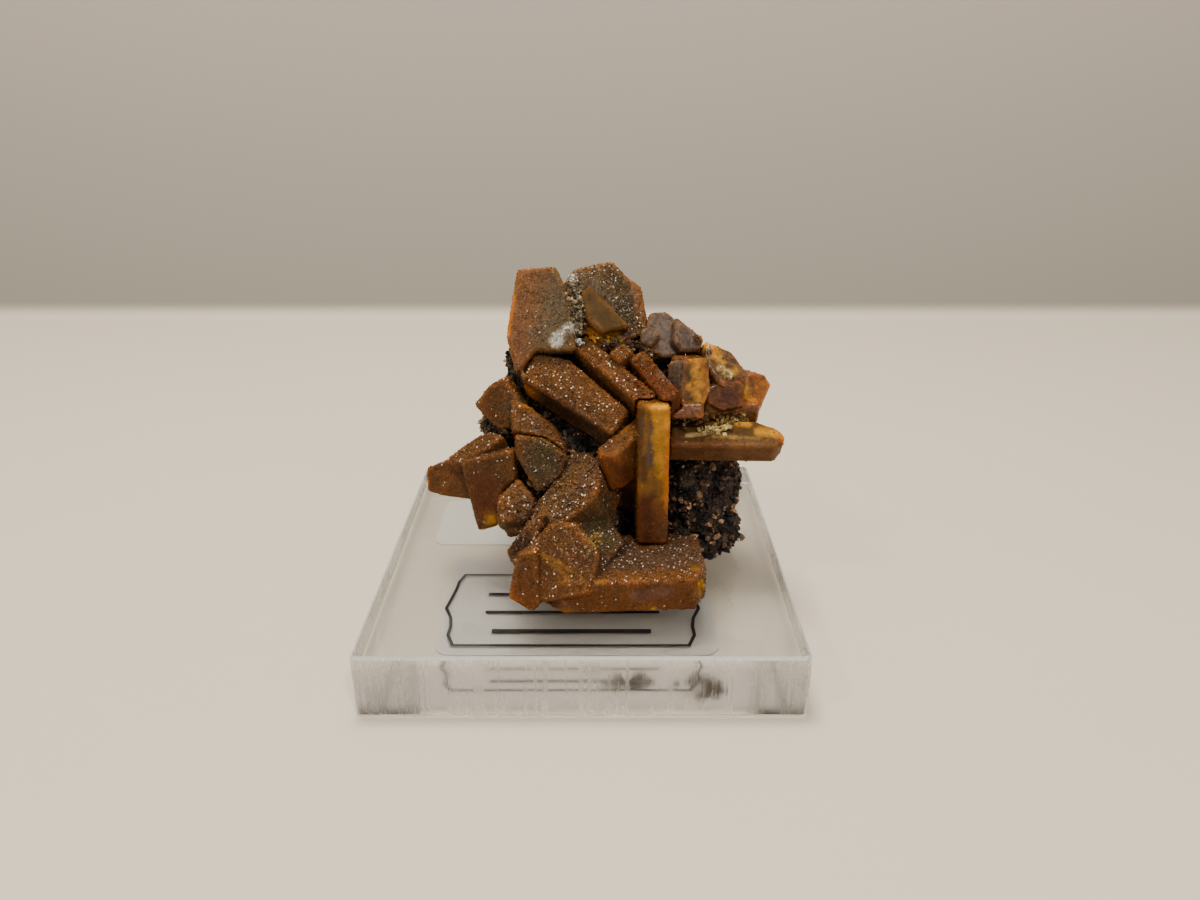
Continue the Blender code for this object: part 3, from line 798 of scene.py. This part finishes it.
def crusts():
    """Crusts of tiny crystals that fill the corners between the large ones."""
    rng = np.random.default_rng(CRUST_SEED)
    spots = []
    paint = []
    for colour, reach, count, *ends in CRUSTS:
        ends = np.array(ends)
        along = rng.random((count, 1))
        spots.append(ends[0] * (1 - along) + ends[-1] * along + rng.normal(0, reach / 2, (count, 3)))
        paint.append(np.array(PALETTE[colour]) * rng.uniform(*CRUST_TONES, (count, 1)))
    spots = np.concatenate(spots) * MM
    sizes = rng.uniform(*CRUST_MM, len(spots)) * MM
    mesh = many(tiny_crystal(), spots, random_turns(len(spots), rng), sizes, "crusts")
    keep_paint(mesh, np.concatenate(paint))
    return mesh


def dress_rock():
    """Gives the matrix a rough skin and its three sorts of grains."""
    finish = rock_material()
    rng = np.random.default_rng(ROCK_SEED)
    skin = bumpy(remeshed("matrix", ROCK_GRID_MM), ROCK_BUMPS_MM, 0.0)
    middle, swing = ROCK_SPOTS
    lit = np.clip(middle + swing * noise_over(places_of(skin), ROCK_SPOT_MM), 0, 1)[:, None]
    paint = np.array(ROCK_PIT) * (1 - lit) + np.array(ROCK_FACE) * lit
    keep_paint(skin, np.column_stack([paint, np.ones(len(paint))]))
    stand_in("matrix_skin", skin, finish, "matrix")
    for name, *grading in ROCK_GRAINS:
        stand_in(name, rock_grains(name, skin, *grading, rng), finish)


def rock_grains(name, skin, per_mm2, smallest, largest, rng):
    """Grains of one sort on the rock's skin. They get painted shade the deeper they sit, and are lighter and darker
    in clumps.
    """
    spots, facing = surface_points(skin, per_mm2, rng)
    sizes = rng.uniform(smallest, largest, len(spots)) * MM
    height = rng.uniform(-GRAIN_BELOW, GRAIN_ABOVE, (len(spots), 1))
    spots = spots + facing * sizes[:, None] * height
    grains = many(rock_grain(), spots, random_turns(len(spots), rng), sizes, name)
    tones = np.array(ROCK_COLOURS)[rng.choice(len(ROCK_COLOURS), len(spots), p=ROCK_SHARES)]
    # Painted shade: grains that sit deeper in the skin are darker
    lowest, growth = SUNK_SHADE
    tones = tones * (lowest + growth * (height + GRAIN_BELOW) ** 2) * rng.uniform(*GRAIN_TONES, (len(spots), 1))
    middle, swing = CLUMP_TONE
    tones = tones * np.clip(middle + swing * noise_over(spots, ROCK_CLUMP_MM), *CLUMP_LIMITS)[:, None]
    keep_paint(grains, np.column_stack([tones, np.ones(len(tones))]))
    return grains


def line_outline(points, wide):
    """A flat closed ring of even width that follows a closed outline, as a bmesh."""
    bm = bmesh.new()
    face = bm.faces.new([bm.verts.new((x, y, 0.0)) for x, y in points])
    face.normal_update()
    ring = bmesh.ops.inset_region(bm, faces=[face], thickness=wide, use_even_offset=True, use_boundary=True)
    ring = ring["faces"]
    middle = [f for f in bm.faces if f not in ring]
    bmesh.ops.delete(bm, geom=middle, context="FACES")
    return bm


def print_label():
    """The printed border and ruled lines, on the side of the label that faces the acrylic."""
    axis = BORDER_MM[0][0]
    half = BORDER_MM[1:-1]
    loop = half + [(2 * axis - x, y) for x, y in reversed(half)]
    bm = line_outline([(x * MM, y * MM) for x, y in loop], BORDER_WIDE_MM * MM)
    for back, long, wide in RULES_MM:
        corners = [(axis - long, back - wide / 2), (axis + long, back - wide / 2),
                   (axis + long, back + wide / 2), (axis - long, back + wide / 2)]
        bm.faces.new([bm.verts.new((x * MM, y * MM, 0.0)) for x, y in corners])
    bmesh.ops.recalc_face_normals(bm, faces=bm.faces)
    bmesh.ops.solidify(bm, geom=bm.faces, thickness=INK_THICK_MM * MM)
    lowest = min(v.co.z for v in bm.verts)
    bmesh.ops.translate(bm, vec=Vector((0, 0, INK_AT_MM * MM - lowest)), verts=bm.verts)
    bmesh.ops.recalc_face_normals(bm, faces=bm.faces)
    stand_in("label_print", as_mesh(bm, "label_print"), plain_material("label_ink"))


def frost_edges():
    """A thin frosted band over the bevels around the top and the bottom of the block."""
    bm = merged("acrylic_base")
    bm.normal_update()
    least, most = EDGE_STEEP
    others = [f for f in bm.faces if not least < abs(f.normal.z) < most]
    bmesh.ops.delete(bm, geom=others, context="FACES")
    bmesh.ops.solidify(bm, geom=bm.faces, thickness=-EDGE_THICK_MM * MM)
    bmesh.ops.recalc_face_normals(bm, faces=bm.faces)
    finish = plain_material("frosted_acrylic_edge")
    stand_in("frosted_edges", as_mesh(bm, "frosted_edges"), finish)


def refinish(solid, finish):
    """Gives a solid of the frame that stays visible a better material."""
    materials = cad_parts[solid].data.materials
    materials.clear()
    materials.append(finish)


def dress_base():
    """The clear block, the label with its print, and the sticker."""
    refinish("acrylic_base", acrylic_material())
    refinish("name_label", plain_material("label_film"))
    refinish("back_sticker", plain_material("sticker_cream"))
    print_label()
    frost_edges()


def stage_material():
    """Pale table with faint clouds, and a grey wall with painted shade that darkens its foot."""
    made, tree, shader = new_material("pale_table")
    where = mapped(tree)
    height = node(tree, "SeparateXYZ", Vector=where).outputs["Z"]
    # The wall's darker foot is painted shade
    starts, foot = (steps(tree, height, low * MM, high * MM) for low, high in (WALL_STARTS_MM, WALL_FOOT_MM))
    table = mixed(tree, noise_at(tree, where, TABLE_CLOUD_MM), *TABLE_COLOURS)
    tree.links.new(mixed(tree, starts, table, mixed(tree, foot, *WALL_COLOURS)), shader.inputs["Base Color"])
    shader.inputs["Roughness"].default_value = STAGE_ROUGH
    return made


def make_stage():
    """The pale table and the grey wall behind it."""
    bm = bmesh.new()
    reach = TABLE_REACH_MM * MM
    back = TABLE_BACK_MM * MM
    start = [bm.verts.new((-reach, -reach, 0)), bm.verts.new((reach, -reach, 0))]
    edge = bm.edges.new(start)
    for x, y, z in ((0, reach + back, 0), (0, 0, WALL_HIGH_MM * MM)):
        grown = bmesh.ops.extrude_edge_only(bm, edges=[edge])["geom"]
        edge = next(g for g in grown if isinstance(g, bmesh.types.BMEdge))
        bmesh.ops.translate(bm, vec=Vector((x, y, z)), verts=list(edge.verts))
    foot = {v for v in bm.verts if max(abs(v.co.y - back), abs(v.co.z)) < SAME_CORNER_MM * MM}
    bend = [e for e in bm.edges if foot.issuperset(e.verts)]
    bmesh.ops.bevel(bm, geom=bend, offset=BEND_MM * MM, offset_type="OFFSET", segments=BEND_STEPS, profile=0.5,
                    affect="EDGES", material=-1)
    mesh = as_mesh(bm, "table_and_wall")
    mesh.shade_smooth()
    mesh.materials.append(stage_material())
    stage = bpy.data.objects.new("table_and_wall", mesh)
    bpy.context.scene.collection.objects.link(stage)


def area_light(name, at_mm, aim_mm, size_mm, watts, colour, mirrored):
    """A flat lamp that points at a place."""
    lamp = bpy.data.lights.new(name, "AREA")
    lamp.shape = "RECTANGLE"
    lamp.size = size_mm[0] * MM
    lamp.size_y = size_mm[1] * MM
    lamp.energy = watts
    lamp.color = colour
    made = bpy.data.objects.new(name, lamp)
    made.visible_glossy = mirrored
    made.location = Vector(at_mm) * MM
    made.rotation_euler = (Vector(aim_mm) - Vector(at_mm)).to_track_quat("-Z", "Y").to_euler()
    bpy.context.scene.collection.objects.link(made)


def light_scene():
    """The soft light of the room and its lamps."""
    world = bpy.data.worlds.new("soft_room")
    world.use_nodes = True
    background = world.node_tree.nodes["Background"]
    background.inputs["Color"].default_value = ROOM_COLOUR
    background.inputs["Strength"].default_value = ROOM_STRENGTH
    bpy.context.scene.world = world
    for settings in LAMPS_MM:
        area_light(*settings)


def place_camera():
    """The camera of the photograph."""
    lens = bpy.data.cameras.new("camera")
    lens.lens = LENS_MM
    lens.sensor_width = SENSOR_MM
    lens.clip_start = CAMERA_NEAR_MM * MM
    made = bpy.data.objects.new("camera", lens)
    made.location = Vector(CAMERA_AT_MM) * MM
    made.rotation_euler = Euler((radians(90 - CAMERA_DOWN), 0, 0))
    bpy.context.scene.collection.objects.link(made)
    bpy.context.scene.camera = made


dress_crystals()
dress_rock()
dress_base()
make_stage()
light_scene()
place_camera()
